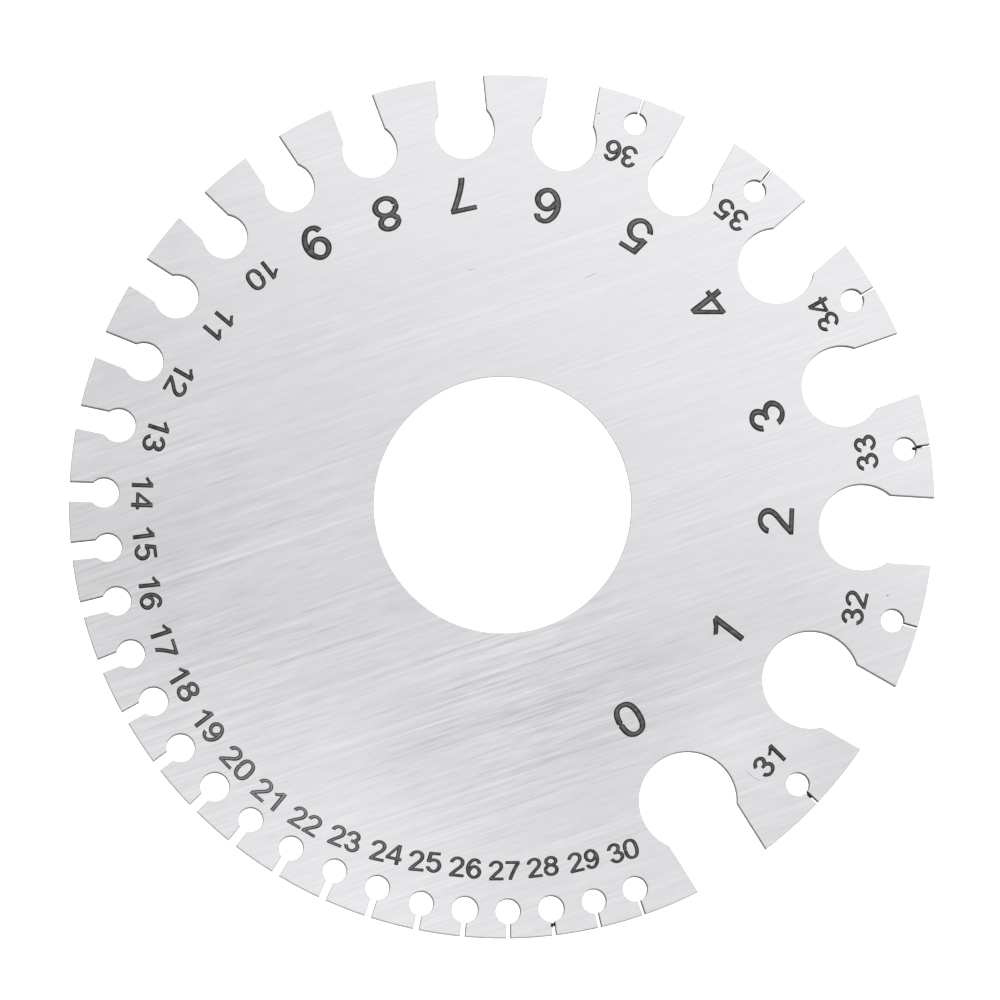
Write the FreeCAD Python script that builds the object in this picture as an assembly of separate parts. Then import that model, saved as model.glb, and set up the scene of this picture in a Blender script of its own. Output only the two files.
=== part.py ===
import FreeCAD, Part
import math
import os

# Wire gauge plate: one flat disc of stainless steel with a centre hole and a keyhole slot for
# each of the 37 sheet gauges. A slot's throat is as wide as its gauge is thick, and the round
# relief hole behind it lets the wire or sheet drop free once it has passed the throat.
# The origin is on the centre hole's axis, in the underside. +Z points out of the marked face.
# Lengths are in millimetres, and bearings are in degrees counter-clockwise from +X.

MM_PER_INCH = 25.4

# Plate
PLATE_DIAMETER = 85.725  # 3 3/8 inches
PLATE_THICKNESS = 1.5
CENTRE_HOLE_DIAMETER = 25.4  # 1 inch
EDGE_BREAK = 0.1

# A gauge is given by its weight in ounces to the square foot, and a plate one inch thick
# weighs this many ounces to the square foot.
OUNCES_PER_INCH = 640.0

# The cutters stand this far past each face and past the rim.
CUT_OVERRUN = 1.0

# Slots, in the order of their bearings. The slits of the six thinnest gauges stand between
# the widest slots. The relief inset is from the rim to the relief hole's centre.
# gauge, ounces, bearing, relief diameter, relief inset
SLOTS = [
    (0, 200.0, 302.0, 9.70, 8.35),
    (31, 7.0, 316.5, 2.30, 2.70),
    (1, 180.0, 330.45, 9.65, 7.80),
    (32, 6.5, 343.5, 2.30, 2.60),
    (2, 170.0, 356.55, 8.55, 7.15),
    (33, 6.0, 8.05, 2.30, 2.55),
    (3, 160.0, 19.4, 8.05, 7.10),
    (34, 5.5, 30.45, 2.30, 2.55),
    (4, 150.0, 41.25, 7.55, 6.65),
    (35, 5.0, 51.3, 2.20, 2.70),
    (5, 140.0, 61.05, 6.45, 6.25),
    (36, 4.5, 70.8, 2.25, 2.60),
    (6, 130.0, 80.35, 6.35, 5.85),
    (7, 120.0, 95.65, 5.90, 5.25),
    (8, 110.0, 110.4, 5.40, 5.25),
    (9, 100.0, 123.7, 4.90, 4.90),
    (10, 90.0, 135.85, 4.40, 4.60),
    (11, 80.0, 147.35, 4.35, 4.55),
    (12, 70.0, 158.2, 3.85, 4.65),
    (13, 60.0, 168.3, 3.35, 4.10),
    (14, 50.0, 178.3, 2.95, 3.45),
    (15, 45.0, 186.25, 2.80, 3.60),
    (16, 40.0, 194.1, 2.85, 3.55),
    (17, 36.0, 201.95, 2.80, 3.25),
    (18, 32.0, 209.5, 2.85, 3.25),
    (19, 28.0, 217.15, 2.80, 2.95),
    (20, 24.0, 224.5, 2.85, 3.00),
    (21, 22.0, 231.4, 2.40, 2.95),
    (22, 20.0, 238.4, 2.40, 2.95),
    (23, 18.0, 245.35, 2.35, 3.00),
    (24, 16.0, 251.85, 2.40, 3.00),
    (25, 14.0, 258.4, 2.40, 2.60),
    (26, 12.0, 264.6, 2.60, 2.65),
    (27, 11.0, 270.65, 2.45, 2.65),
    (28, 10.0, 276.75, 2.55, 2.65),
    (29, 9.0, 282.85, 2.40, 2.65),
    (30, 8.0, 288.9, 2.45, 2.70),
]

PLATE_RADIUS = PLATE_DIAMETER / 2.0
CENTRE_HOLE_RADIUS = CENTRE_HOLE_DIAMETER / 2.0
ORIGIN = FreeCAD.Vector(0.0, 0.0, 0.0)
UP = FreeCAD.Vector(0.0, 0.0, 1.0)


def gauge_width(ounces):
    """Thickness of sheet that weighs so many ounces to the square foot."""
    return ounces / OUNCES_PER_INCH * MM_PER_INCH


def ring_blank():
    """The disc with its centre hole, turned from its section, all four edges broken."""
    section = [
        (CENTRE_HOLE_RADIUS + EDGE_BREAK, 0.0),
        (PLATE_RADIUS - EDGE_BREAK, 0.0),
        (PLATE_RADIUS, EDGE_BREAK),
        (PLATE_RADIUS, PLATE_THICKNESS - EDGE_BREAK),
        (PLATE_RADIUS - EDGE_BREAK, PLATE_THICKNESS),
        (CENTRE_HOLE_RADIUS + EDGE_BREAK, PLATE_THICKNESS),
        (CENTRE_HOLE_RADIUS, PLATE_THICKNESS - EDGE_BREAK),
        (CENTRE_HOLE_RADIUS, EDGE_BREAK),
    ]
    corners = [FreeCAD.Vector(radius, 0.0, height) for radius, height in section]
    outline = Part.makePolygon(corners + corners[:1])
    return Part.Face(outline).revolve(ORIGIN, UP, 360.0)


def keyhole_outline(width, relief_diameter, relief_inset):
    """Slot along +X: straight walls from past the rim into the relief hole, then round it."""
    half = width / 2.0
    relief_radius = relief_diameter / 2.0
    relief_centre = PLATE_RADIUS - relief_inset
    shoulder = relief_centre + math.sqrt(relief_radius ** 2 - half ** 2)
    outside = PLATE_RADIUS + CUT_OVERRUN
    mouth_low = FreeCAD.Vector(outside, -half, 0.0)
    mouth_high = FreeCAD.Vector(outside, half, 0.0)
    shoulder_low = FreeCAD.Vector(shoulder, -half, 0.0)
    shoulder_high = FreeCAD.Vector(shoulder, half, 0.0)
    relief_end = FreeCAD.Vector(relief_centre - relief_radius, 0.0, 0.0)
    edges = [
        Part.makeLine(mouth_low, shoulder_low),
        Part.Arc(shoulder_low, relief_end, shoulder_high).toShape(),
        Part.makeLine(shoulder_high, mouth_high),
        Part.makeLine(mouth_high, mouth_low),
    ]
    return Part.Wire(edges)


def keyhole_cutter(ounces, bearing, relief_diameter, relief_inset):
    """The keyhole as a solid through the plate, turned to its bearing."""
    outline = keyhole_outline(gauge_width(ounces), relief_diameter, relief_inset)
    outline.translate(UP * -CUT_OVERRUN)
    cutter = Part.Face(outline).extrude(UP * (PLATE_THICKNESS + 2.0 * CUT_OVERRUN))
    cutter.rotate(ORIGIN, UP, bearing)
    return cutter


def gauge_plate():
    """The blank with every slot cut."""
    cutters = [
        keyhole_cutter(ounces, bearing, relief_diameter, relief_inset)
        for gauge, ounces, bearing, relief_diameter, relief_inset in SLOTS
    ]
    return ring_blank().cut(cutters)


def save(shape, node):
    """Check that a sub-part is one sound solid, write its STEP file and report its size."""
    solids = shape.Solids
    if len(solids) != 1 or not solids[0].isValid():
        raise ValueError(node + " isn't one valid solid")
    solids[0].exportStep("parts/" + node + ".step")
    box = solids[0].BoundBox
    print(node, "volume", round(solids[0].Volume, 2), "mm3, box",
          round(box.XLength, 3), round(box.YLength, 3), round(box.ZLength, 3))


os.makedirs("parts", exist_ok=True)
save(gauge_plate(), "gauge_plate")
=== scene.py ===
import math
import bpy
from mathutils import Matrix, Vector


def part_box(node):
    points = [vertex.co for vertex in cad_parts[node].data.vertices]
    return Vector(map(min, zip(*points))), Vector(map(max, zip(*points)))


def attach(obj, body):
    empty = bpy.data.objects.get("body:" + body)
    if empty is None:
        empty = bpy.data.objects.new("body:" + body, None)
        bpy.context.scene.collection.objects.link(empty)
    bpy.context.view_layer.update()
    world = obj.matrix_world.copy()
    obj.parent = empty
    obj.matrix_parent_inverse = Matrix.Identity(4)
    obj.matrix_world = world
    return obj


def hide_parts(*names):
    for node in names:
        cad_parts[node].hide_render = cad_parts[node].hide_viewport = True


bl_info = {
    "name": "Wire gauge plate",
    "version": (1, 0, 0),
    "blender": (4, 5, 0),
    "location": "View3D > Sidebar > Wire gauge",
    "description": "Dresses a round wire and sheet gauge plate: brushed steel, cut slots and numbers",
    "category": "Object",
}

import bmesh
import bpy
from bpy.props import FloatProperty, FloatVectorProperty, PointerProperty
from mathutils import Matrix, Vector, noise

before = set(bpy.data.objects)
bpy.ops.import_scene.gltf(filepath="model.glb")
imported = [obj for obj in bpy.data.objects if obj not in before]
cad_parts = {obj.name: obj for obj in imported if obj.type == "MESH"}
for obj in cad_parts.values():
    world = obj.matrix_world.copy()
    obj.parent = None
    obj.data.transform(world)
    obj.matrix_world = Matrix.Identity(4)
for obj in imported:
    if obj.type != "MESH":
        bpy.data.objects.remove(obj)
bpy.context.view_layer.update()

PLATE_LOW, PLATE_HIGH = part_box("gauge_plate")
MM = 0.001
MM_PER_INCH = 25.4
OUNCES_PER_INCH = 640.0

# Slots, in the order of their bearings, in millimetres and degrees. The throat is as wide as
# sheet of so many ounces to the square foot is thick. The inset is from the rim to the centre
# of the round relief hole.
# gauge, ounces, bearing, relief diameter, relief inset
SLOTS = [
    (0, 200.0, 302.0, 9.70, 8.35),
    (31, 7.0, 316.5, 2.30, 2.70),
    (1, 180.0, 330.45, 9.65, 7.80),
    (32, 6.5, 343.5, 2.30, 2.60),
    (2, 170.0, 356.55, 8.55, 7.15),
    (33, 6.0, 8.05, 2.30, 2.55),
    (3, 160.0, 19.4, 8.05, 7.10),
    (34, 5.5, 30.45, 2.30, 2.55),
    (4, 150.0, 41.25, 7.55, 6.65),
    (35, 5.0, 51.3, 2.20, 2.70),
    (5, 140.0, 61.05, 6.45, 6.25),
    (36, 4.5, 70.8, 2.25, 2.60),
    (6, 130.0, 80.35, 6.35, 5.85),
    (7, 120.0, 95.65, 5.90, 5.25),
    (8, 110.0, 110.4, 5.40, 5.25),
    (9, 100.0, 123.7, 4.90, 4.90),
    (10, 90.0, 135.85, 4.40, 4.60),
    (11, 80.0, 147.35, 4.35, 4.55),
    (12, 70.0, 158.2, 3.85, 4.65),
    (13, 60.0, 168.3, 3.35, 4.10),
    (14, 50.0, 178.3, 2.95, 3.45),
    (15, 45.0, 186.25, 2.80, 3.60),
    (16, 40.0, 194.1, 2.85, 3.55),
    (17, 36.0, 201.95, 2.80, 3.25),
    (18, 32.0, 209.5, 2.85, 3.25),
    (19, 28.0, 217.15, 2.80, 2.95),
    (20, 24.0, 224.5, 2.85, 3.00),
    (21, 22.0, 231.4, 2.40, 2.95),
    (22, 20.0, 238.4, 2.40, 2.95),
    (23, 18.0, 245.35, 2.35, 3.00),
    (24, 16.0, 251.85, 2.40, 3.00),
    (25, 14.0, 258.4, 2.40, 2.60),
    (26, 12.0, 264.6, 2.60, 2.65),
    (27, 11.0, 270.65, 2.45, 2.65),
    (28, 10.0, 276.75, 2.55, 2.65),
    (29, 9.0, 282.85, 2.40, 2.65),
    (30, 8.0, 288.9, 2.45, 2.70),
]

BEARINGS = {gauge: bearing for gauge, ounces, bearing, diameter, inset in SLOTS}

# An edge is broken in two steps, a flat one next to the face and a steep one next to the wall.
# They meet this far in from the wall and this far down from the face, in parts of the break.
LIP_OUT = 0.12
LIP_DOWN = 0.5

# The cutters stand this far past each face and past the rim, in millimetres.
FACE_OVERRUN = 0.5
RIM_OVERRUN = 1.0

# A face of the plate whose normal rises less than this belongs to a wall and not to a surface.
WALL_RISE = 0.6

# Sides of the rim and the centre hole, and of a relief hole
RING_STEPS = 360
RELIEF_STEPS = 72

# The number at each slot, in millimetres and degrees. Numbers stand with their heads towards
# the centre hole. The shift runs counter-clockwise from the slot's own line, and so does the
# lean, because few of the numbers stand quite square to their slot.
# gauge, figure height, radius, shift, pitch of two figures, lean
NUMBERS = [
    (0, 3.56, 24.65, -0.65, 0.0, 0.0),
    (1, 3.60, 25.40, -0.15, 0.0, -8.0),
    (2, 3.60, 27.15, 0.10, 0.0, 1.0),
    (3, 3.58, 27.70, -0.35, 0.0, -1.0),
    (4, 3.58, 28.55, 1.25, 0.0, -3.5),
    (5, 3.60, 30.00, 1.25, 0.0, -3.0),
    (6, 3.58, 30.10, 0.55, 0.0, 0.0),
    (7, 3.60, 31.05, 1.05, 0.0, 7.0),
    (8, 3.56, 31.10, 0.55, 0.0, 0.0),
    (9, 3.58, 31.85, 0.95, 0.0, -2.0),
    (10, 2.15, 32.95, 0.05, 1.88, -8.0),
    (11, 2.18, 33.25, -0.05, 1.80, -7.5),
    (12, 2.20, 34.20, 0.30, 1.80, -8.0),
    (13, 2.20, 34.90, 0.15, 1.86, -6.0),
    (14, 2.18, 35.65, -0.20, 1.88, 0.0),
    (15, 2.20, 35.60, -0.10, 1.88, 1.0),
    (16, 2.18, 35.90, -0.10, 1.88, -8.0),
    (17, 2.20, 36.15, -0.05, 1.94, -4.0),
    (18, 2.22, 36.20, -0.15, 1.90, 1.5),
    (19, 2.22, 36.40, -0.20, 1.90, 0.0),
    (20, 2.18, 36.60, -0.05, 1.82, -1.0),
    (21, 2.18, 36.85, -0.10, 1.68, -1.0),
    (22, 2.05, 36.90, -0.20, 1.66, 1.0),
    (23, 2.05, 36.55, -0.40, 1.64, 3.0),
    (24, 2.05, 36.30, -0.25, 1.62, 5.5),
    (25, 2.05, 36.15, -0.45, 1.68, 6.5),
    (26, 2.00, 36.10, -0.35, 1.65, 0.0),
    (27, 1.95, 36.20, -0.30, 1.62, 0.0),
    (28, 1.95, 36.05, -0.35, 1.61, 0.0),
    (29, 1.95, 36.10, -0.10, 1.61, 0.0),
    (30, 1.96, 36.25, 0.10, 1.57, -3.0),
    (31, 2.16, 36.55, -0.25, 1.60, -1.0),
    (32, 2.16, 36.30, 0.15, 1.75, 3.5),
    (33, 2.14, 36.45, 0.15, 1.82, 0.0),
    (34, 2.12, 37.20, 0.25, 1.71, -1.5),
    (35, 2.12, 36.85, 0.30, 1.77, 0.0),
    (36, 2.12, 36.95, 0.35, 1.70, -1.0),
]

# A figure's pen strokes, on a cell 36 units high about its own centre. A knot is a place and
# the handle that leads on from it. A knot without a handle is a corner between straight runs.
# A stroke's own corners are rounded off.
FIGURE_UNITS = 36.0
CORNER_ROUNDING = 1.1
FIGURES = {
    "0": [
        [(-10.4, 0.7, 0.0, 10.2), (0.0, 15.9, 6.8, 0.0), (10.4, 0.0, 0.0, -10.8),
         (0.0, -15.9, -6.8, 0.0), (-10.4, -0.7, 0.0, 10.2)],
    ],
    "1": [
        [(5.4, -17.5), (5.4, 17.9)],
        [(-7.5, 6.5), (-0.2, 11.3), (4.2, 16.0)],
    ],
    "2": [
        [(-10.3, 7.0, 0.0, 4.2), (0.2, 15.9, 5.4, 0.0), (9.4, 8.2, 0.0, -4.0),
         (2.6, -2.5, -4.0, -3.3), (-10.2, -15.2, -2.4, -3.4)],
        [(-13.2, -15.1), (13.3, -15.1)],
    ],
    "3": [
        [(-10.6, 7.2, 0.3, 4.0), (-1.2, 15.9, 4.6, 0.0), (7.3, 9.4, 0.0, -3.6),
         (0.0, 0.9, -3.6, 0.0)],
        [(-3.8, 0.8, 1.5, 0.0), (1.6, 0.8, 4.6, 0.0), (10.9, -6.9, 0.0, -4.7),
         (0.6, -15.8, -5.0, 0.0), (-9.5, -8.2, -1.2, 3.6)],
    ],
    "4": [
        [(6.8, -17.6), (6.8, 17.9)],
        [(-13.9, -7.1), (14.4, -7.1)],
        [(-12.0, -6.9), (5.8, 16.2)],
    ],
    "5": [
        [(11.3, 15.4), (-5.8, 15.4), (-9.3, -0.4)],
        [(-8.4, 0.6, 2.6, 2.6), (1.3, 4.4, 5.0, 0.0), (10.4, -5.4, 0.0, -5.2),
         (0.4, -15.5, -5.2, 0.0), (-9.9, -7.4, -0.8, 3.8)],
    ],
    "6": [
        [(8.9, 9.0, -0.3, 3.6), (1.0, 15.6, -5.4, 0.0), (-10.4, -0.5, 0.0, -8.5),
         (0.6, -15.9, 5.4, 0.0), (10.7, -6.3, 0.0, 4.9), (1.2, 3.3, -5.0, 0.0),
         (-8.2, -5.6, -1.2, -3.6)],
    ],
    "7": [
        [(-13.3, 14.6), (13.2, 14.6)],
        [(10.6, 13.9, -2.4, -2.6), (2.1, 0.0, -2.6, -4.8), (-4.5, -17.1, -0.4, -4.2)],
    ],
    "8": [
        [(-7.7, 9.2, 0.0, 3.7), (1.1, 15.7, 4.7, 0.0), (9.9, 8.9, 0.0, -3.7),
         (1.1, 2.1, -4.7, 0.0), (-7.7, 8.6, 0.0, 3.7)],
        [(-10.3, -5.7, 0.0, 4.1), (0.0, 1.7, 5.6, 0.0), (10.3, -6.9, 0.0, -4.7),
         (0.0, -15.5, -5.6, 0.0), (-10.3, -7.0, 0.0, 4.7)],
    ],
    "9": [
        [(-9.6, -8.6, 0.8, -3.6), (-1.0, -15.6, 5.4, 0.0), (10.4, 0.6, 0.0, 8.6),
         (-0.2, 15.6, -5.2, 0.0), (-9.8, 6.1, 0.0, -4.9), (-1.2, -3.0, 5.0, 0.0),
         (8.3, 5.8, 1.0, 3.6)],
    ],
}

# Narrow joints where the pen set off and came back, and their nib in parts of the stroke's own
SET_OFF_NIB = 0.62
SET_OFFS = {
    "0": [[(-10.4, 3.4), (-10.4, -3.4)]],
    "6": [[(-9.9, -3.6), (-9.5, -7.6)]],
    "8": [[(-11.4, -3.0), (-11.4, -9.6)], [(-8.9, 12.4), (-8.9, 5.2)]],
    "9": [[(9.9, 3.4), (9.5, 7.6)]],
}

# The strokes that are drawn lighter than the rest: figure, place in its list, weight
LIGHT_STROKES = {("1", 1): 0.86, ("4", 2): 0.80}

# The paler core of a stroke, in parts of the stroke's width
LARGE_CORE = 0.52
SMALL_CORE = 0.38

# Crumbs of black grit, in millimetres and degrees: the slot, then how far out and how far
# counter-clockwise of its line the crumb's middle is, its size out, across and in height, its turn.
# All reach up to the same height, and their outline is rough by a part of their size.
CRUMB_TOP = 1.56
CRUMB_ROUGHNESS = 0.35
CRUMBS = [
    (28, 41.80, 0.12, 0.42, 0.24, 0.60, 0.0),
    (28, 41.84, -0.12, 0.46, 0.24, 0.55, 0.0),
    (28, 41.81, 0.0, 0.26, 0.24, 0.50, 20.0),
    (31, 41.78, 0.0, 0.60, 0.44, 0.60, -4.0),
    (31, 41.50, 0.06, 0.40, 0.18, 0.45, 0.0),
    (35, 42.05, 0.07, 1.50, 0.08, 0.60, 0.0),
    (33, 41.74, 0.0, 0.66, 0.22, 0.45, 0.0),
    (33, 41.26, -0.11, 0.58, 0.30, 0.40, -16.0),
]

# Fine marks on the face, in millimetres and degrees: middle, length, width, turn, and whether
# the mark is dark or bright. Each is a lens with its middle in the face, all equally thick.
FLECKS = [
    (24.42, -26.70, 0.78, 0.07, -42.0, "dark"),
    (25.06, -27.12, 0.86, 0.07, -25.0, "dark"),
    (24.52, -26.62, 0.80, 0.06, -42.0, "bright"),
    (25.12, -27.02, 0.80, 0.06, -25.0, "bright"),
    (8.83, 22.84, 1.46, 0.07, 22.0, "dark"),
    (8.92, 22.73, 1.40, 0.07, 22.0, "bright"),
    (-3.05, 23.40, 0.90, 0.07, 13.0, "dark"),
    (-3.00, 23.30, 0.90, 0.06, 13.0, "bright"),
    (9.64, 39.04, 0.25, 0.16, 20.0, "dark"),
    (38.12, -8.92, 0.24, 0.18, 60.0, "dark"),
]
FLECK_HEIGHT = 0.012
FLECK_COLOURS = {"dark": (0.39, 0.39, 0.40), "bright": (0.86, 0.86, 0.88)}

# Brushing lines, from the shortest to the longest: lines in parts of the finish's own number to
# the metre, length in widths, detail, strength
GRAIN = [
    (1.0, 10.0, 0.0, 0.11),
    (0.9, 25.0, 0.0, 0.085),
    (1.1, 60.0, 0.0, 0.06),
    (0.4, 50.0, 1.0, 0.05),
]

# Round parts of the face that are brushed harder than the rest; round parts of the face with painted
# shade (darker) and painted highlight (brighter) of the reflection on the brushed steel; and round parts
# of the numbers with painted sheen that makes them paler, in millimetres: centre, radius, strength in
# the middle
HARD_BRUSHED = [
    (3.0, -18.0, 16.0, 0.75),
    (-28.0, -22.0, 36.0, 0.35),
]
# Painted shade and painted highlight on the face: round patches where the reflection on the brushed
# steel is painted darker (below nothing) or brighter (above nothing)
PAINTED_SHADE_AND_HIGHLIGHT = [
    (-35.0, -7.0, 19.0, -0.08),
    (13.0, -16.0, 15.0, -0.07),
    (-8.0, -23.5, 10.0, -0.05),
    (6.5, -18.5, 12.0, -0.04),
    (27.0, -9.0, 14.0, -0.045),
    (-14.0, -35.0, 21.0, 0.05),
    (22.5, -25.5, 13.0, 0.085),
]
# Painted sheen on the numbers: round patches where the marks are painted paler, where the softboxes'
# reflection on them is brightest
PAINTED_SHEEN_ON_MARKS = [
    (-23.0, -29.5, 22.0, 1.4),
    (10.0, 33.0, 34.0, 0.3),
    (-22.4, -29.2, 4.0, 1.0),
]

# Softboxes over the plate, in metres and degrees: name, place, turn, width, depth, radiance
SOFTBOXES = [
    ("key_softbox", (0.080, 0.163, 0.25), -30.0, 0.30, 0.30, 0.62),
    ("fill_softbox", (-0.033, -0.083, 0.25), -22.6, 0.30, 0.15, 0.64),
]

# What the camera looks at on the face, in millimetres from the plate's axis
CAMERA_TARGET = (-0.26, 0.48)


class PlateSizes(bpy.types.PropertyGroup):
    """Sizes of the finished steel plate."""

    diameter: FloatProperty(
        name="Diameter", description="Outside diameter of the plate",
        default=PLATE_HIGH.y - PLATE_LOW.y, min=0.01, unit="LENGTH", precision=5)
    thickness: FloatProperty(
        name="Thickness", description="Thickness of the steel sheet",
        default=PLATE_HIGH.z - PLATE_LOW.z, min=0.0002, unit="LENGTH", precision=5)
    hole_diameter: FloatProperty(
        name="Centre hole", description="Diameter of the hole in the middle",
        default=25.4 * MM, min=0.001, unit="LENGTH", precision=5)
    edge_break: FloatProperty(
        name="Edge break", description="Width of the broken edge on the rim and the centre hole",
        default=0.08 * MM, min=0.0, unit="LENGTH", precision=5)
    slot_edge_break: FloatProperty(
        name="Slot edge break", description="Width of the broken edge along each slot",
        default=0.07 * MM, min=0.0, unit="LENGTH", precision=5)


class SteelFinish(bpy.types.PropertyGroup):
    """Colours and grain of the steel."""

    steel_colour: FloatVectorProperty(
        name="Steel", description="Colour of the brushed faces",
        default=(0.717, 0.713, 0.732), size=3, min=0.0, max=1.0, subtype="COLOR")
    wall_colour: FloatVectorProperty(
        name="Cut walls", description="Colour of the cut walls of the slots",
        default=(0.19, 0.186, 0.182), size=3, min=0.0, max=1.0, subtype="COLOR")
    rim_colour: FloatVectorProperty(
        name="Rim", description="Colour of the turned rim",
        default=(0.50, 0.495, 0.49), size=3, min=0.0, max=1.0, subtype="COLOR")
    bore_colour: FloatVectorProperty(
        name="Bore", description="Colour of the bright wall of the centre hole",
        default=(0.90, 0.895, 0.90), size=3, min=0.0, max=1.0, subtype="COLOR")
    brush_angle: FloatProperty(
        name="Brushing angle", description="Direction of the brushing lines from +X",
        default=math.radians(18.75), subtype="ANGLE", unit="ROTATION")
    line_width: FloatProperty(
        name="Line width", description="Width of one brushing line",
        default=0.13 * MM, min=0.00001, unit="LENGTH", precision=5)


class NumberMarks(bpy.types.PropertyGroup):
    """Sizes and colours of the numbers."""

    nib_width: FloatProperty(
        name="Upright stroke",
        description="Width of an upright stroke, in parts of 36 of a figure's height",
        default=6.3, min=1.0, max=12.0)
    nib_height: FloatProperty(
        name="Level stroke",
        description="Thickness of a level stroke, in parts of 36 of a figure's height",
        default=4.9, min=1.0, max=12.0)
    small_weight: FloatProperty(
        name="Small figures' weight", description="How much bolder the strokes of the small figures are",
        default=1.11, min=0.5, max=2.0)
    proud: FloatProperty(
        name="Build-up", description="How far a mark stands out of the steel",
        default=0.01 * MM, min=0.0, unit="LENGTH", precision=5)
    edge_colour: FloatVectorProperty(
        name="Mark edge", description="Colour along the edge of a mark",
        default=(0.026, 0.026, 0.027), size=3, min=0.0, max=1.0, subtype="COLOR")
    core_colour: FloatVectorProperty(
        name="Mark core", description="Colour in the middle of a stroke",
        default=(0.120, 0.119, 0.123), size=3, min=0.0, max=1.0, subtype="COLOR")


class StageSizes(bpy.types.PropertyGroup):
    """Camera, floor and light."""

    tilt: FloatProperty(
        name="Camera tilt", description="Angle between the line of sight and the plate's axis",
        default=math.radians(5.7), subtype="ANGLE", unit="ROTATION")
    tilt_bearing: FloatProperty(
        name="Camera bearing", description="Side of the plate that the camera stands over, from +X",
        default=math.radians(244.5), subtype="ANGLE", unit="ROTATION")
    distance: FloatProperty(
        name="Camera distance", description="From the camera to the plate",
        default=1.0, min=0.1, unit="LENGTH")
    field: FloatProperty(
        name="Field of view", description="Width that the picture takes in at the plate",
        default=98.9 * MM, min=0.01, unit="LENGTH", precision=5)
    floor_colour: FloatVectorProperty(
        name="Floor", description="Colour of the floor",
        default=(0.95, 0.95, 0.95), size=3, min=0.0, max=1.0, subtype="COLOR")
    floor_glow: FloatProperty(
        name="Floor glow", description="Light that the floor gives off by itself",
        default=0.97, min=0.0, max=2.0)
    backdrop_bearing: FloatProperty(
        name="Backdrop bearing", description="Side of the plate that the backdrop stands on, from +X",
        default=math.radians(55.0), subtype="ANGLE", unit="ROTATION")
    backdrop_light: FloatProperty(
        name="Backdrop", description="Brightness of the backdrop", default=1.0, min=0.0, max=5.0)
    room_light: FloatProperty(
        name="Room", description="Brightness of the room across from the backdrop",
        default=0.42, min=0.0, max=5.0)
    ceiling_light: FloatProperty(
        name="Ceiling", description="Brightness of what is overhead",
        default=0.63, min=0.0, max=5.0)


def move_to(place):
    """Matrix that moves a shape to a place."""
    return Matrix.Translation(Vector(place))


def turn_z(angle):
    """Matrix that turns a shape about the plate's axis."""
    return Matrix.Rotation(angle, 4, "Z")


def scale_by(x, y, z):
    """Matrix that scales a shape along each axis."""
    return Matrix.Diagonal((x, y, z, 1.0))


def object_from(name, bm):
    """Put a bmesh in a new object at the origin."""
    mesh = bpy.data.meshes.new(name)
    bm.to_mesh(mesh)
    bm.free()
    item = bpy.data.objects.new(name, mesh)
    bpy.context.scene.collection.objects.link(item)
    return item


def evaluated_mesh(item):
    """A copy of an object's mesh with its modifiers applied."""
    bpy.context.view_layer.update()
    depsgraph = bpy.context.evaluated_depsgraph_get()
    return bpy.data.meshes.new_from_object(item.evaluated_get(depsgraph))


def apply_modifiers(item):
    """Apply an object's modifiers to its own mesh."""
    finished = evaluated_mesh(item)
    finished.name = item.name
    item.modifiers.clear()
    item.data = finished


def boolean(item, tool, operation):
    """Cut a tool out of an object, or join it on, and remove the tool."""
    step = item.modifiers.new(operation.lower(), "BOOLEAN")
    step.operation = operation
    step.solver = "EXACT"
    step.use_self = operation == "UNION"
    step.object = tool
    apply_modifiers(item)
    bpy.data.objects.remove(tool)


def finish_mesh(item, angle=20.0):
    """Merge doubles, point the faces outwards and shade arcs smooth between their edges."""
    bm = bmesh.new()
    bm.from_mesh(item.data)
    bmesh.ops.remove_doubles(bm, verts=bm.verts, dist=1e-7)
    bmesh.ops.dissolve_degenerate(bm, dist=1e-7, edges=bm.edges)
    bmesh.ops.recalc_face_normals(bm, faces=bm.faces)
    for face in bm.faces:
        face.smooth = True
    bm.to_mesh(item.data)
    bm.free()
    item.data.set_sharp_from_angle(angle=math.radians(angle))


def broken_section(width_low, width_high, low, high, outer_break, inner_break):
    """Corners of a section with its edges broken in two steps, in the XZ plane."""
    corners = []
    for side, edge, cut in ((1, width_high, outer_break), (-1, width_low, inner_break)):
        steps = [
            (edge - side * cut, low),
            (edge - side * cut * LIP_OUT, low + cut * LIP_DOWN),
            (edge, low + cut),
            (edge, high - cut),
            (edge - side * cut * LIP_OUT, high - cut * LIP_DOWN),
            (edge - side * cut, high),
        ]
        corners.extend(steps if side > 0 else reversed(steps))
    return [Vector((x, 0.0, z)) for x, z in corners]


def closed_loop(bm, corners):
    """Join corners by edges into a closed loop, and return the edges."""
    verts = [bm.verts.new(corner) for corner in corners]
    return [bm.edges.new((verts[i - 1], verts[i])) for i in range(len(verts))]


def ring_blank(sizes):
    """The disc with its centre hole, spun from its section."""
    bm = bmesh.new()
    corners = broken_section(
        sizes.hole_diameter / 2.0, sizes.diameter / 2.0, 0.0, sizes.thickness,
        sizes.edge_break, sizes.edge_break)
    edges = closed_loop(bm, corners)
    bmesh.ops.spin(
        bm, geom=bm.verts[:] + edges, cent=(0, 0, 0), axis=(0, 0, 1), angle=2.0 * math.pi,
        steps=RING_STEPS, use_merge=True)
    bmesh.ops.recalc_face_normals(bm, faces=bm.faces)
    return object_from("finished_plate", bm)


def flared_sides(half_width, thickness, flare):
    """One side of a cutter, from below the plate to above it, flared at both faces."""
    over = FACE_OVERRUN * MM
    return [
        (half_width + flare, -over),
        (half_width + flare, 0.0),
        (half_width + flare * LIP_OUT, flare * LIP_DOWN),
        (half_width, flare),
        (half_width, thickness - flare),
        (half_width + flare * LIP_OUT, thickness - flare * LIP_DOWN),
        (half_width + flare, thickness),
        (half_width + flare, thickness + over),
    ]


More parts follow.
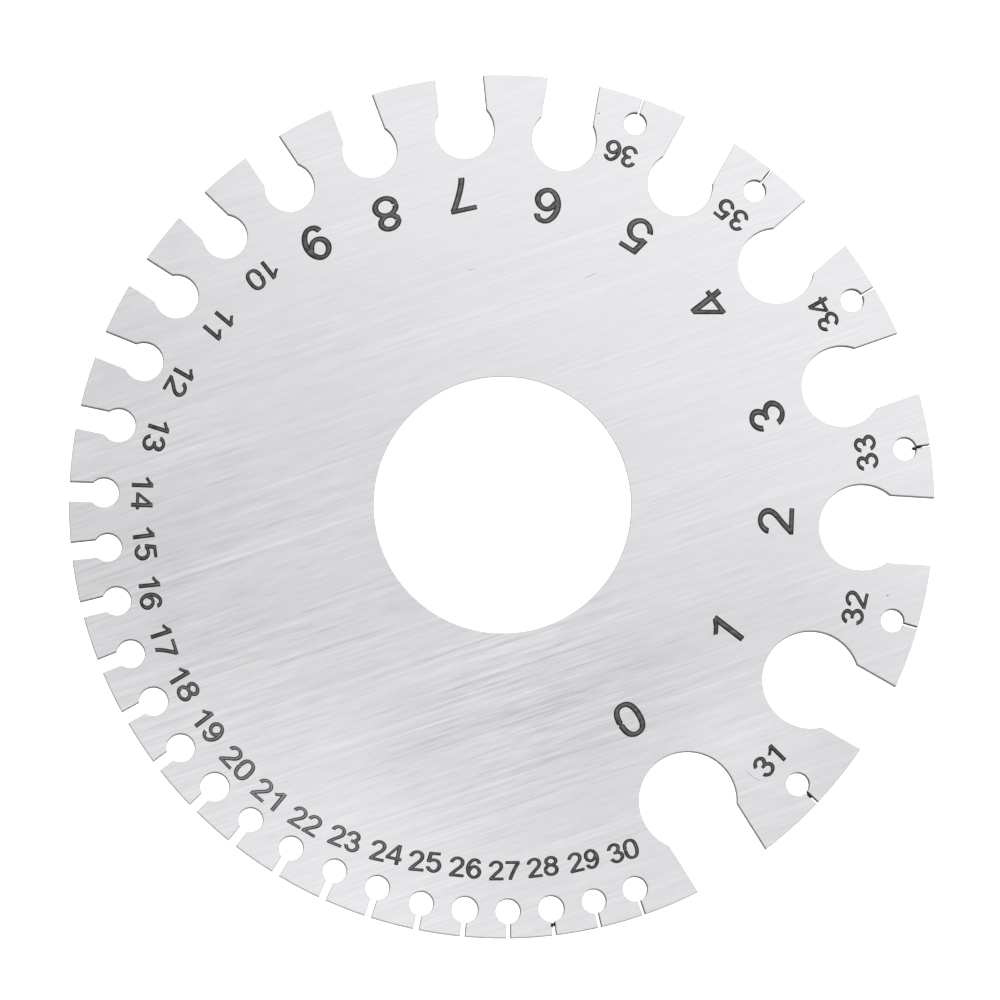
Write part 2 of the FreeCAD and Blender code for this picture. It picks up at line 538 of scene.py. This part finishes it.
def relief_cutter(sizes, diameter, inset):
    """Round cutter for one relief hole, spun from its side, on a slot along +X."""
    bm = bmesh.new()
    side = flared_sides(diameter * MM / 2.0, sizes.thickness, sizes.slot_edge_break)
    corners = [(0.0, side[0][1])] + side + [(0.0, side[-1][1])]
    verts = [bm.verts.new((radius, 0.0, height)) for radius, height in corners]
    edges = [bm.edges.new(pair) for pair in zip(verts, verts[1:])]
    bmesh.ops.spin(
        bm, geom=verts + edges, cent=(0, 0, 0), axis=(0, 0, 1), angle=2.0 * math.pi,
        steps=RELIEF_STEPS, use_merge=True)
    bmesh.ops.remove_doubles(bm, verts=bm.verts, dist=1e-8)
    bmesh.ops.recalc_face_normals(bm, faces=bm.faces)
    bmesh.ops.translate(bm, vec=(sizes.diameter / 2.0 - inset * MM, 0, 0), verts=bm.verts)
    return object_from("relief_cutter", bm)


def relief_cutters(sizes):
    """Round cutters for the relief hole behind every throat."""
    bm = bmesh.new()
    for gauge, ounces, bearing, diameter, inset in SLOTS:
        cutter = relief_cutter(sizes, diameter, inset)
        cutter.data.transform(turn_z(math.radians(bearing)))
        bm.from_mesh(cutter.data)
        bpy.data.objects.remove(cutter)
    return object_from("relief_cutters", bm)


def throat_cutters(sizes):
    """Straight cutters for every throat, from the relief hole out past the rim."""
    bm = bmesh.new()
    for gauge, ounces, bearing, diameter, inset in SLOTS:
        half = ounces / OUNCES_PER_INCH * MM_PER_INCH * MM / 2.0
        side = flared_sides(half, sizes.thickness, sizes.slot_edge_break)
        start = sizes.diameter / 2.0 - inset * MM
        corners = [Vector((start, width, height)) for width, height in side]
        corners += [Vector((start, -width, height)) for width, height in reversed(side)]
        verts = [bm.verts.new(corner) for corner in corners]
        face = bm.faces.new(verts)
        run = bmesh.ops.extrude_face_region(bm, geom=[face], use_keep_orig=True)
        ends = [part for part in run["geom"] if isinstance(part, bmesh.types.BMVert)]
        length = (inset + RIM_OVERRUN) * MM
        bmesh.ops.translate(bm, vec=(length, 0, 0), verts=ends)
        bmesh.ops.transform(bm, matrix=turn_z(math.radians(bearing)), verts=verts + ends)
    bmesh.ops.recalc_face_normals(bm, faces=bm.faces)
    return object_from("throat_cutters", bm)


def pen_stroke(knots, nib_width, nib_height):
    """One stroke of a broad pen as a closed band, one unit high, in a figure's own units."""
    stretch = nib_width / nib_height
    curve = bpy.data.curves.new("pen_stroke", "CURVE")
    curve.dimensions = "2D"
    curve.fill_mode = "NONE"
    curve.extrude = 0.5
    curve.resolution_u = 10
    curved = len(knots[0]) == 4
    spline = curve.splines.new("BEZIER" if curved else "POLY")
    if curved:
        spline.bezier_points.add(len(knots) - 1)
        for point, (x, y, lead_x, lead_y) in zip(spline.bezier_points, knots):
            place = Vector((x, y * stretch, 0.0))
            lead = Vector((lead_x, lead_y * stretch, 0.0))
            point.co = place
            point.handle_left = place - lead
            point.handle_right = place + lead
    else:
        spline.points.add(len(knots) - 1)
        for point, (x, y) in zip(spline.points, knots):
            point.co = (x, y * stretch, 0.0, 1.0)
    path = bpy.data.objects.new("pen_stroke", curve)
    bpy.context.scene.collection.objects.link(path)
    wall = bpy.data.objects.new("pen_stroke_wall", evaluated_mesh(path))
    bpy.context.scene.collection.objects.link(wall)
    bpy.data.objects.remove(path)
    band = wall.modifiers.new("band", "SOLIDIFY")
    band.thickness = nib_width
    band.offset = 0.0
    band.use_even_offset = True
    apply_modifiers(wall)
    bm = bmesh.new()
    bm.from_mesh(wall.data)
    bmesh.ops.remove_doubles(bm, verts=bm.verts, dist=1e-4)
    bmesh.ops.recalc_face_normals(bm, faces=bm.faces)
    corners = []
    for edge in bm.edges:
        low, high = (vert.co for vert in edge.verts)
        upright = (low.xy - high.xy).length < 1e-4
        if upright and edge.is_manifold and edge.calc_face_angle() > math.radians(60.0):
            corners.append(edge)
    bmesh.ops.bevel(
        bm, geom=corners, offset=CORNER_ROUNDING, offset_type="OFFSET", segments=3, profile=0.5,
        affect="EDGES", material=-1, clamp_overlap=True)
    bmesh.ops.transform(bm, matrix=scale_by(1.0, 1.0 / stretch, 1.0), verts=bm.verts)
    bm.to_mesh(wall.data)
    bm.free()
    return wall


def master_figure(character, nib_width, nib_height):
    """One figure as a closed pad: its strokes joined, with a waist where the pen set off."""
    strokes = []
    for i, knots in enumerate(FIGURES[character]):
        weight = LIGHT_STROKES.get((character, i), 1.0)
        strokes.append(pen_stroke(knots, nib_width * weight, nib_height * weight))
    for knots in SET_OFFS.get(character, []):
        strokes.append(pen_stroke(knots, nib_width * SET_OFF_NIB, nib_height * SET_OFF_NIB))
    figure = strokes[0]
    for stroke in strokes[1:]:
        boolean(figure, stroke, "UNION")
    bm = bmesh.new()
    bm.from_mesh(figure.data)
    bmesh.ops.remove_doubles(bm, verts=bm.verts, dist=1e-4)
    bmesh.ops.recalc_face_normals(bm, faces=bm.faces)
    bmesh.ops.dissolve_limit(
        bm, angle_limit=math.radians(1.0), verts=bm.verts, edges=bm.edges,
        delimit={"NORMAL"})
    bm.to_mesh(figure.data)
    bm.free()
    return figure


def node_of(tree, kind, **values):
    """Add a node and set its plain values."""
    item = tree.nodes.new(kind)
    for key, value in values.items():
        setattr(item, key, value)
    return item


def new_material(name):
    """A material with a shader of its own, and its tree."""
    material = bpy.data.materials.new(name)
    material.use_nodes = True
    tree = material.node_tree
    tree.nodes.clear()
    shader = tree.nodes.new("ShaderNodeBsdfPrincipled")
    output = tree.nodes.new("ShaderNodeOutputMaterial")
    tree.links.new(shader.outputs["BSDF"], output.inputs["Surface"])
    return material, tree, shader


def brushing_group():
    """Node group: streaks of one width and length along X of the given vector."""
    name = "Brushing lines"
    if name in bpy.data.node_groups:
        return bpy.data.node_groups[name]
    tree = bpy.data.node_groups.new(name, "ShaderNodeTree")
    tree.interface.new_socket(name="Vector", in_out="INPUT", socket_type="NodeSocketVector")
    tree.interface.new_socket(name="Lines per metre", in_out="INPUT", socket_type="NodeSocketFloat")
    tree.interface.new_socket(name="Length", in_out="INPUT", socket_type="NodeSocketFloat")
    tree.interface.new_socket(name="Detail", in_out="INPUT", socket_type="NodeSocketFloat")
    tree.interface.new_socket(name="Streak", in_out="OUTPUT", socket_type="NodeSocketFloat")
    inside = tree.nodes.new("NodeGroupInput")
    out = tree.nodes.new("NodeGroupOutput")
    inverse = node_of(tree, "ShaderNodeMath", operation="DIVIDE")
    inverse.inputs[0].default_value = 1.0
    tree.links.new(inside.outputs["Length"], inverse.inputs[1])
    squeeze = tree.nodes.new("ShaderNodeCombineXYZ")
    tree.links.new(inverse.outputs[0], squeeze.inputs["X"])
    squeeze.inputs["Y"].default_value = 1.0
    squeeze.inputs["Z"].default_value = 1.0
    stretched = node_of(tree, "ShaderNodeVectorMath", operation="MULTIPLY")
    tree.links.new(inside.outputs["Vector"], stretched.inputs[0])
    tree.links.new(squeeze.outputs[0], stretched.inputs[1])
    lines = tree.nodes.new("ShaderNodeTexNoise")
    tree.links.new(stretched.outputs[0], lines.inputs["Vector"])
    tree.links.new(inside.outputs["Lines per metre"], lines.inputs["Scale"])
    tree.links.new(inside.outputs["Detail"], lines.inputs["Detail"])
    lines.inputs["Roughness"].default_value = 0.6
    centred = node_of(tree, "ShaderNodeMath", operation="SUBTRACT")
    tree.links.new(lines.outputs["Fac"], centred.inputs[0])
    centred.inputs[1].default_value = 0.5
    tree.links.new(centred.outputs[0], out.inputs["Streak"])
    return tree


def brushing(tree, vector, lines_per_metre, length, detail):
    """Place the brushing group in a material and return its output."""
    group = node_of(tree, "ShaderNodeGroup", node_tree=brushing_group())
    tree.links.new(vector, group.inputs["Vector"])
    group.inputs["Lines per metre"].default_value = lines_per_metre
    group.inputs["Length"].default_value = length
    group.inputs["Detail"].default_value = detail
    return group.outputs["Streak"]


def weighted_sum(tree, parts):
    """Add outputs, each times its own weight."""
    total = None
    for output, weight in parts:
        step = node_of(tree, "ShaderNodeMath", operation="MULTIPLY_ADD")
        tree.links.new(output, step.inputs[0])
        step.inputs[1].default_value = weight
        if total is None:
            step.inputs[2].default_value = 0.0
        else:
            tree.links.new(total, step.inputs[2])
        total = step.outputs[0]
    return total


def multiply(tree, first, second):
    """Multiply two outputs."""
    step = node_of(tree, "ShaderNodeMath", operation="MULTIPLY")
    tree.links.new(first, step.inputs[0])
    tree.links.new(second, step.inputs[1])
    return step.outputs[0]


def map_range(tree, output, from_low, from_high, to_low, to_high):
    """Map an output from one range to another, without going past its ends."""
    step = tree.nodes.new("ShaderNodeMapRange")
    tree.links.new(output, step.inputs["Value"])
    step.inputs["From Min"].default_value = from_low
    step.inputs["From Max"].default_value = from_high
    step.inputs["To Min"].default_value = to_low
    step.inputs["To Max"].default_value = to_high
    return step.outputs["Result"]


def tint(tree, colour, output):
    """A colour made lighter or darker by an output centred on one."""
    step = node_of(tree, "ShaderNodeMix", data_type="RGBA", blend_type="MULTIPLY")
    step.inputs["Factor"].default_value = 1.0
    step.inputs["A"].default_value = (*colour, 1.0)
    tree.links.new(output, step.inputs["B"])
    return step.outputs["Result"]


def soft_spot_group():
    """Node group: one in the middle of a ball, fading softly to nothing at its edge."""
    name = "Soft spot"
    if name in bpy.data.node_groups:
        return bpy.data.node_groups[name]
    tree = bpy.data.node_groups.new(name, "ShaderNodeTree")
    tree.interface.new_socket(name="Vector", in_out="INPUT", socket_type="NodeSocketVector")
    tree.interface.new_socket(name="Centre", in_out="INPUT", socket_type="NodeSocketVector")
    tree.interface.new_socket(name="Radius", in_out="INPUT", socket_type="NodeSocketFloat")
    tree.interface.new_socket(name="Mask", in_out="OUTPUT", socket_type="NodeSocketFloat")
    inside = tree.nodes.new("NodeGroupInput")
    out = tree.nodes.new("NodeGroupOutput")
    moved = node_of(tree, "ShaderNodeMapping", vector_type="TEXTURE")
    tree.links.new(inside.outputs["Vector"], moved.inputs["Vector"])
    tree.links.new(inside.outputs["Centre"], moved.inputs["Location"])
    tree.links.new(inside.outputs["Radius"], moved.inputs["Scale"])
    ball = node_of(tree, "ShaderNodeTexGradient", gradient_type="SPHERICAL")
    tree.links.new(moved.outputs["Vector"], ball.inputs["Vector"])
    step = node_of(tree, "ShaderNodeMapRange", interpolation_type="SMOOTHSTEP")
    tree.links.new(ball.outputs["Fac"], step.inputs["Value"])
    tree.links.new(step.outputs["Result"], out.inputs["Mask"])
    return tree


def soft_spots(tree, spots):
    """Place the soft spot group for each row of a table, and return outputs with strengths."""
    place = tree.nodes.new("ShaderNodeTexCoord")
    parts = []
    for x, y, radius, strength in spots:
        group = node_of(tree, "ShaderNodeGroup", node_tree=soft_spot_group())
        tree.links.new(place.outputs["Object"], group.inputs["Vector"])
        group.inputs["Centre"].default_value = (x * MM, y * MM, 0.0)
        group.inputs["Radius"].default_value = radius * MM
        parts.append((group.outputs["Mask"], strength))
    return parts


def add(tree, output, amount):
    """Add a plain number to an output."""
    step = node_of(tree, "ShaderNodeMath", operation="ADD")
    tree.links.new(output, step.inputs[0])
    step.inputs[1].default_value = amount
    return step.outputs[0]


def brush_vector(tree, angle):
    """Object coordinates turned so that their X runs along the brushing."""
    place = tree.nodes.new("ShaderNodeTexCoord")
    turned = node_of(tree, "ShaderNodeMapping", vector_type="POINT")
    turned.inputs["Rotation"].default_value = (0.0, 0.0, -angle)
    tree.links.new(place.outputs["Object"], turned.inputs["Vector"])
    return turned.outputs["Vector"]


def brushed_steel(finish):
    """Satin stainless sheet, brushed in one direction."""
    material, tree, shader = new_material("brushed stainless")
    along = brush_vector(tree, finish.brush_angle)
    per_metre = 0.5 / finish.line_width
    grain = [
        (brushing(tree, along, per_metre * number, length, detail), strength)
        for number, length, detail, strength in GRAIN]
    # The longest lines, of which the darkest and the lightest stand out
    lines = brushing(tree, along, per_metre * 0.95, 140.0, 0.0)
    dark_lines = map_range(tree, lines, -0.26, -0.12, -1.0, 0.0)
    light_lines = map_range(tree, lines, 0.12, 0.26, 0.0, 1.0)
    grain += [(lines, 0.07), (dark_lines, 0.012), (light_lines, 0.025)]
    # Bands a few millimetres wide, and clouds of about two centimetres
    bands = brushing(tree, along, 160.0, 5.0, 2.0)
    clouds = brushing(tree, along, 45.0, 1.5, 3.0)
    # The grain is stronger in some bands and in the parts that are brushed harder
    patches = map_range(tree, bands, -0.14, 0.16, 0.6, 0.9)
    wear = add(tree, weighted_sum(tree, [(patches, 1.0)] + soft_spots(tree, HARD_BRUSHED)), -0.05)
    worked = multiply(tree, weighted_sum(tree, grain), wear)
    # The tone of the face: its grain, bands and clouds, plus the painted shade and painted highlight of
    # the round reflection patches
    shade = weighted_sum(
        tree, [(worked, 1.0), (bands, 0.05), (clouds, 0.06)] + soft_spots(tree, PAINTED_SHADE_AND_HIGHLIGHT))
    level = add(tree, shade, 1.0)
    tree.links.new(tint(tree, finish.steel_colour, level), shader.inputs["Base Color"])
    rough = add(tree, weighted_sum(tree, ((worked, 0.65), (clouds, 0.08))), 0.3)
    tree.links.new(rough, shader.inputs["Roughness"])
    shader.inputs["Metallic"].default_value = 1.0
    return material


def cut_steel(name, colour):
    """Walls left by the cutter: darker, and lined from face to face."""
    material, tree, shader = new_material(name)
    place = tree.nodes.new("ShaderNodeTexCoord")
    upright = node_of(tree, "ShaderNodeMapping", vector_type="POINT")
    upright.inputs["Rotation"].default_value = (0.0, math.radians(90.0), 0.0)
    tree.links.new(place.outputs["Object"], upright.inputs["Vector"])
    lines = brushing(tree, upright.outputs["Vector"], 7000.0, 12.0, 2.0)
    blotches = brushing(tree, upright.outputs["Vector"], 900.0, 2.0, 2.0)
    level = add(tree, weighted_sum(tree, ((lines, 0.9), (blotches, 0.5))), 1.0)
    tree.links.new(tint(tree, colour, level), shader.inputs["Base Color"])
    tree.links.new(map_range(tree, lines, -0.3, 0.3, 0.5, 0.7), shader.inputs["Roughness"])
    bump = tree.nodes.new("ShaderNodeBump")
    bump.inputs["Strength"].default_value = 0.4
    bump.inputs["Distance"].default_value = 0.01 * MM
    tree.links.new(lines, bump.inputs["Height"])
    tree.links.new(bump.outputs["Normal"], shader.inputs["Normal"])
    shader.inputs["Specular IOR Level"].default_value = 0.0
    return material


def reamed_steel(finish):
    """Bright wall of the centre hole, with fine rings left by the reamer."""
    material, tree, shader = new_material("reamed steel bore")
    place = tree.nodes.new("ShaderNodeTexCoord")
    parts = tree.nodes.new("ShaderNodeSeparateXYZ")
    tree.links.new(place.outputs["Object"], parts.inputs["Vector"])
    rings = node_of(tree, "ShaderNodeTexNoise", noise_dimensions="1D")
    tree.links.new(parts.outputs["Z"], rings.inputs["W"])
    rings.inputs["Scale"].default_value = 9000.0
    rings.inputs["Detail"].default_value = 2.0
    level = map_range(tree, rings.outputs["Fac"], 0.3, 0.7, 0.93, 1.04)
    tree.links.new(tint(tree, finish.bore_colour, level), shader.inputs["Base Color"])
    tree.links.new(
        map_range(tree, rings.outputs["Fac"], 0.3, 0.7, 0.16, 0.26), shader.inputs["Roughness"])
    shader.inputs["Metallic"].default_value = 1.0
    return material


def dark_mark(name, colour, brush_angle):
    """Dark marking, mottled by the steel's own lines, with painted sheen that makes it paler in round
    patches.
    """
    material, tree, shader = new_material(name)
    along = brush_vector(tree, brush_angle)
    streaks = brushing(tree, along, 4200.0, 6.0, 1.0)
    mottle = brushing(tree, along, 1800.0, 1.5, 2.0)
    # The streaks and mottle, plus the painted sheen of the round patches, lighten or darken the mark's
    # colour
    level = add(tree, weighted_sum(
        tree, [(streaks, 1.6), (mottle, 1.2)] + soft_spots(tree, PAINTED_SHEEN_ON_MARKS)), 0.95)
    tree.links.new(tint(tree, colour, level), shader.inputs["Base Color"])
    rough = map_range(tree, mottle, -0.2, 0.2, 0.5, 0.7)
    tree.links.new(rough, shader.inputs["Roughness"])
    shader.inputs["Specular IOR Level"].default_value = 0.3
    return material


def black_grit():
    """Crushed black grit."""
    material, tree, shader = new_material("black grit")
    place = tree.nodes.new("ShaderNodeTexCoord")
    lumps = tree.nodes.new("ShaderNodeTexNoise")
    tree.links.new(place.outputs["Object"], lumps.inputs["Vector"])
    lumps.inputs["Scale"].default_value = 9000.0
    lumps.inputs["Detail"].default_value = 3.0
    level = map_range(tree, lumps.outputs["Fac"], 0.3, 0.7, 0.4, 1.8)
    tree.links.new(tint(tree, (0.012, 0.011, 0.010), level), shader.inputs["Base Color"])
    tree.links.new(
        map_range(tree, lumps.outputs["Fac"], 0.3, 0.7, 0.6, 0.95), shader.inputs["Roughness"])
    bump = tree.nodes.new("ShaderNodeBump")
    bump.inputs["Strength"].default_value = 0.6
    bump.inputs["Distance"].default_value = 0.02 * MM
    tree.links.new(lumps.outputs["Fac"], bump.inputs["Height"])
    tree.links.new(bump.outputs["Normal"], shader.inputs["Normal"])
    return material


def pale_floor(stage):
    """Even white table that glows a little, so that it shows white in the narrowest slit."""
    material, tree, shader = new_material("pale floor")
    shader.inputs["Base Color"].default_value = (*stage.floor_colour, 1.0)
    shader.inputs["Roughness"].default_value = 0.9
    shader.inputs["Specular IOR Level"].default_value = 0.1
    shader.inputs["Emission Color"].default_value = (1.0, 1.0, 1.0, 1.0)
    shader.inputs["Emission Strength"].default_value = stage.floor_glow
    return material


def soft_light(name, place, turn, width, depth, radiance):
    """A level softbox over the plate. The camera looks through its back, which gives no light."""
    light = bpy.data.lights.new(name, "AREA")
    light.shape = "RECTANGLE"
    light.size = width
    light.size_y = depth
    light.energy = radiance * math.pi * width * depth
    item = bpy.data.objects.new(name, light)
    bpy.context.scene.collection.objects.link(item)
    item.location = place
    item.rotation_euler = (0.0, 0.0, math.radians(turn))
    return item


def studio_world(stage):
    """Soft surroundings: a bright backdrop on one side, a dim room on the other, even above."""
    bearing = stage.backdrop_bearing
    world = bpy.data.worlds.new("studio")
    world.use_nodes = True
    tree = world.node_tree
    sky = tree.nodes["Background"]
    place = tree.nodes.new("ShaderNodeTexCoord")
    side = node_of(tree, "ShaderNodeVectorMath", operation="DOT_PRODUCT")
    tree.links.new(place.outputs["Generated"], side.inputs[0])
    side.inputs[1].default_value = (math.cos(bearing), math.sin(bearing), 0.0)
    low = map_range(
        tree, side.outputs["Value"], -0.5, 0.5, stage.room_light, stage.backdrop_light)
    parts = tree.nodes.new("ShaderNodeSeparateXYZ")
    tree.links.new(place.outputs["Generated"], parts.inputs["Vector"])
    blend = node_of(tree, "ShaderNodeMapRange", interpolation_type="SMOOTHSTEP")
    tree.links.new(parts.outputs["Z"], blend.inputs["Value"])
    # The sides pass into the ceiling between these two heights of the direction
    blend.inputs["From Min"].default_value = 0.6
    blend.inputs["From Max"].default_value = 0.9
    tree.links.new(low, blend.inputs["To Min"])
    blend.inputs["To Max"].default_value = stage.ceiling_light
    tree.links.new(blend.outputs["Result"], sky.inputs["Strength"])
    sky.inputs["Color"].default_value = (1.0, 1.0, 1.0, 1.0)
    return world


class GAUGE_OT_set_stage(bpy.types.Operator):
    """Set up the camera, the floor and the soft light"""

    bl_idname = "gauge.set_stage"
    bl_label = "Set the stage"

    def execute(self, context):
        stage = context.scene.gauge_stage
        sizes = context.scene.gauge_plate
        towards = Vector((
            math.sin(stage.tilt) * math.cos(stage.tilt_bearing),
            math.sin(stage.tilt) * math.sin(stage.tilt_bearing),
            math.cos(stage.tilt)))
        target = Vector((CAMERA_TARGET[0] * MM, CAMERA_TARGET[1] * MM, sizes.thickness))
        camera_data = bpy.data.cameras.new("camera")
        camera_data.sensor_width = 36.0
        camera_data.lens = 36.0 * stage.distance / stage.field
        camera_data.clip_start = 0.05
        camera_data.clip_end = 20.0
        camera = bpy.data.objects.new("camera", camera_data)
        context.scene.collection.objects.link(camera)
        camera.location = target + towards * stage.distance
        camera.rotation_euler = Vector((0, 0, 1)).rotation_difference(towards).to_euler()
        context.scene.camera = camera
        bm = bmesh.new()
        bmesh.ops.create_grid(bm, x_segments=2, y_segments=2, size=1.5)
        floor = object_from("floor", bm)
        floor.data.materials.append(pale_floor(stage))
        for softbox in SOFTBOXES:
            soft_light(*softbox)
        context.scene.world = studio_world(stage)
        context.scene.view_settings.view_transform = "Standard"
        return {"FINISHED"}


class GAUGE_OT_make_plate(bpy.types.Operator):
    """Make the steel plate with its centre hole and its graduated slots"""

    bl_idname = "gauge.make_plate"
    bl_label = "Make the plate"

    def execute(self, context):
        sizes = context.scene.gauge_plate
        finish = context.scene.gauge_finish
        plate = ring_blank(sizes)
        boolean(plate, relief_cutters(sizes), "DIFFERENCE")
        boolean(plate, throat_cutters(sizes), "DIFFERENCE")
        finish_mesh(plate)
        plate.data.materials.append(brushed_steel(finish))
        plate.data.materials.append(cut_steel("cut steel wall", finish.wall_colour))
        plate.data.materials.append(cut_steel("turned steel rim", finish.rim_colour))
        plate.data.materials.append(reamed_steel(finish))
        self.sort_faces(plate.data, sizes)
        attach(plate, "root")
        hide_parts("gauge_plate")
        return {"FINISHED"}

    def sort_faces(self, mesh, sizes):
        """Give each face its material: brushed surface, slot wall, rim or centre hole."""
        near = 0.2 * MM
        surface, slot_wall, rim, bore = range(4)
        for face in mesh.polygons:
            distance = face.center.xy.length
            if abs(face.normal.z) >= WALL_RISE:
                face.material_index = surface
            elif distance < sizes.hole_diameter / 2.0 + near:
                face.material_index = bore
            elif (distance > sizes.diameter / 2.0 - near
                    and face.center.xy.normalized().dot(face.normal.xy) > WALL_RISE):
                face.material_index = rim
            else:
                face.material_index = slot_wall


class GAUGE_OT_mark_numbers(bpy.types.Operator):
    """Mark the gauge number at each slot"""

    bl_idname = "gauge.mark_numbers"
    bl_label = "Mark the numbers"

    def execute(self, context):
        marks = context.scene.gauge_marks
        brush_angle = context.scene.gauge_finish.brush_angle
        large = [row for row in NUMBERS if row[0] < 10]
        small = [row for row in NUMBERS if row[0] >= 10]
        bm = bmesh.new()
        for rows, weight, core in (
                (large, 1.0, LARGE_CORE), (small, marks.small_weight, SMALL_CORE)):
            nib_width = marks.nib_width * weight
            nib_height = marks.nib_height * weight
            self.add_layer(bm, rows, nib_width, nib_height, marks.proud, 0)
            self.add_layer(bm, rows, nib_width * core, nib_height * core, marks.proud * 1.5, 1)
        numbers = object_from("gauge_numbers", bm)
        numbers.data.materials.append(dark_mark("dark marking", marks.edge_colour, brush_angle))
        numbers.data.materials.append(dark_mark("dark marking core", marks.core_colour, brush_angle))
        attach(numbers, "root")
        return {"FINISHED"}

    def add_layer(self, bm, rows, nib_width, nib_height, proud, index):
        """Set one layer of some of the numbers on the plate."""
        thickness = bpy.context.scene.gauge_plate.thickness
        sunk = 0.02 * MM
        thick = proud + sunk
        masters = {
            character: master_figure(character, nib_width, nib_height)
            for character in FIGURES}
        for gauge, height, radius, shift, pitch, lean in rows:
            label = turn_z(math.radians(BEARINGS[gauge] + 90.0))
            centre = label @ move_to((shift * MM, -radius * MM, thickness))
            leaned = centre @ turn_z(math.radians(lean))
            text = str(gauge)
            scale = height * MM / FIGURE_UNITS
            for i, character in enumerate(text):
                across = (i - (len(text) - 1) / 2.0) * pitch * MM
                base = move_to((across, 0.0, proud - thick / 2.0))
                before = len(bm.verts)
                bm.from_mesh(masters[character].data)
                bm.verts.ensure_lookup_table()
                figure = bm.verts[before:]
                size = scale_by(scale, scale, thick)
                bmesh.ops.transform(bm, matrix=leaned @ base @ size, verts=figure)
                for vert in figure:
                    for face in vert.link_faces:
                        face.material_index = index
        for master in masters.values():
            bpy.data.objects.remove(master)


class GAUGE_OT_add_grit(bpy.types.Operator):
    """Add the crumbs of black grit in some of the slots, and the fine marks on the face"""

    bl_idname = "gauge.add_grit"
    bl_label = "Add the grit"

    def execute(self, context):
        bm = bmesh.new()
        for gauge, radius, shift, out, across, height, turn in CRUMBS:
            crumb = bmesh.ops.create_icosphere(bm, subdivisions=3, radius=0.5)["verts"]
            for vert in crumb:
                lump = noise.noise(vert.co * 4.0 + Vector((radius, gauge, 0.0)))
                vert.co *= 1.0 + CRUMB_ROUGHNESS * lump
            slot = turn_z(math.radians(BEARINGS[gauge]))
            place = slot @ move_to((radius * MM, shift * MM, (CRUMB_TOP - height / 2.0) * MM))
            shape = scale_by(out * MM, across * MM, height * MM)
            bmesh.ops.transform(bm, matrix=place @ turn_z(math.radians(turn)) @ shape, verts=crumb)
        grit = object_from("slot_grit", bm)
        finish_mesh(grit, 60.0)
        grit.data.materials.append(black_grit())
        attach(grit, "root")
        self.add_flecks(context.scene.gauge_plate.thickness)
        return {"FINISHED"}

    def add_flecks(self, thickness):
        """Lay each fine mark on the face as a flat lens that stands out by a hair."""
        bm = bmesh.new()
        for x, y, length, width, turn, tone in FLECKS:
            before = len(bm.faces)
            lens = bmesh.ops.create_uvsphere(bm, u_segments=16, v_segments=8, radius=0.5)["verts"]
            shape = scale_by(length * MM, width * MM, FLECK_HEIGHT * MM)
            place = move_to((x * MM, y * MM, thickness)) @ turn_z(math.radians(turn))
            bmesh.ops.transform(bm, matrix=place @ shape, verts=lens)
            bm.faces.ensure_lookup_table()
            for face in bm.faces[before:]:
                face.smooth = True
                face.material_index = list(FLECK_COLOURS).index(tone)
        flecks = object_from("face_flecks", bm)
        for tone, colour in FLECK_COLOURS.items():
            material, tree, shader = new_material(tone + " fleck")
            shader.inputs["Base Color"].default_value = (*colour, 1.0)
            shader.inputs["Roughness"].default_value = 0.4
            shader.inputs["Metallic"].default_value = 1.0
            flecks.data.materials.append(material)
        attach(flecks, "root")


class GAUGE_PT_tools(bpy.types.Panel):
    """Steps and sizes of the wire gauge plate"""

    bl_idname = "GAUGE_PT_tools"
    bl_label = "Wire gauge plate"
    bl_space_type = "VIEW_3D"
    bl_region_type = "UI"
    bl_category = "Wire gauge"

    def draw(self, context):
        layout = self.layout
        layout.use_property_split = True
        for operator in OPERATORS:
            layout.operator(operator.bl_idname)
        for title, name in SETTINGS:
            box = layout.box()
            box.label(text=title)
            group = getattr(context.scene, name)
            for key in group.__annotations__:
                box.prop(group, key)


OPERATORS = (
    GAUGE_OT_set_stage,
    GAUGE_OT_make_plate,
    GAUGE_OT_mark_numbers,
    GAUGE_OT_add_grit,
)
SETTINGS = (
    ("Plate", "gauge_plate"),
    ("Steel", "gauge_finish"),
    ("Numbers", "gauge_marks"),
    ("Stage", "gauge_stage"),
)
GROUPS = (PlateSizes, SteelFinish, NumberMarks, StageSizes)
CLASSES = GROUPS + OPERATORS + (GAUGE_PT_tools,)


def register():
    for item in CLASSES:
        bpy.utils.register_class(item)
    for group, (title, name) in zip(GROUPS, SETTINGS):
        setattr(bpy.types.Scene, name, PointerProperty(type=group))


def unregister():
    for title, name in SETTINGS:
        delattr(bpy.types.Scene, name)
    for item in reversed(CLASSES):
        bpy.utils.unregister_class(item)


def main():
    """Register the classes and run each step."""
    register()
    bpy.ops.gauge.set_stage()
    bpy.ops.gauge.make_plate()
    bpy.ops.gauge.mark_numbers()
    bpy.ops.gauge.add_grit()


if __name__ == "__main__":
    main()
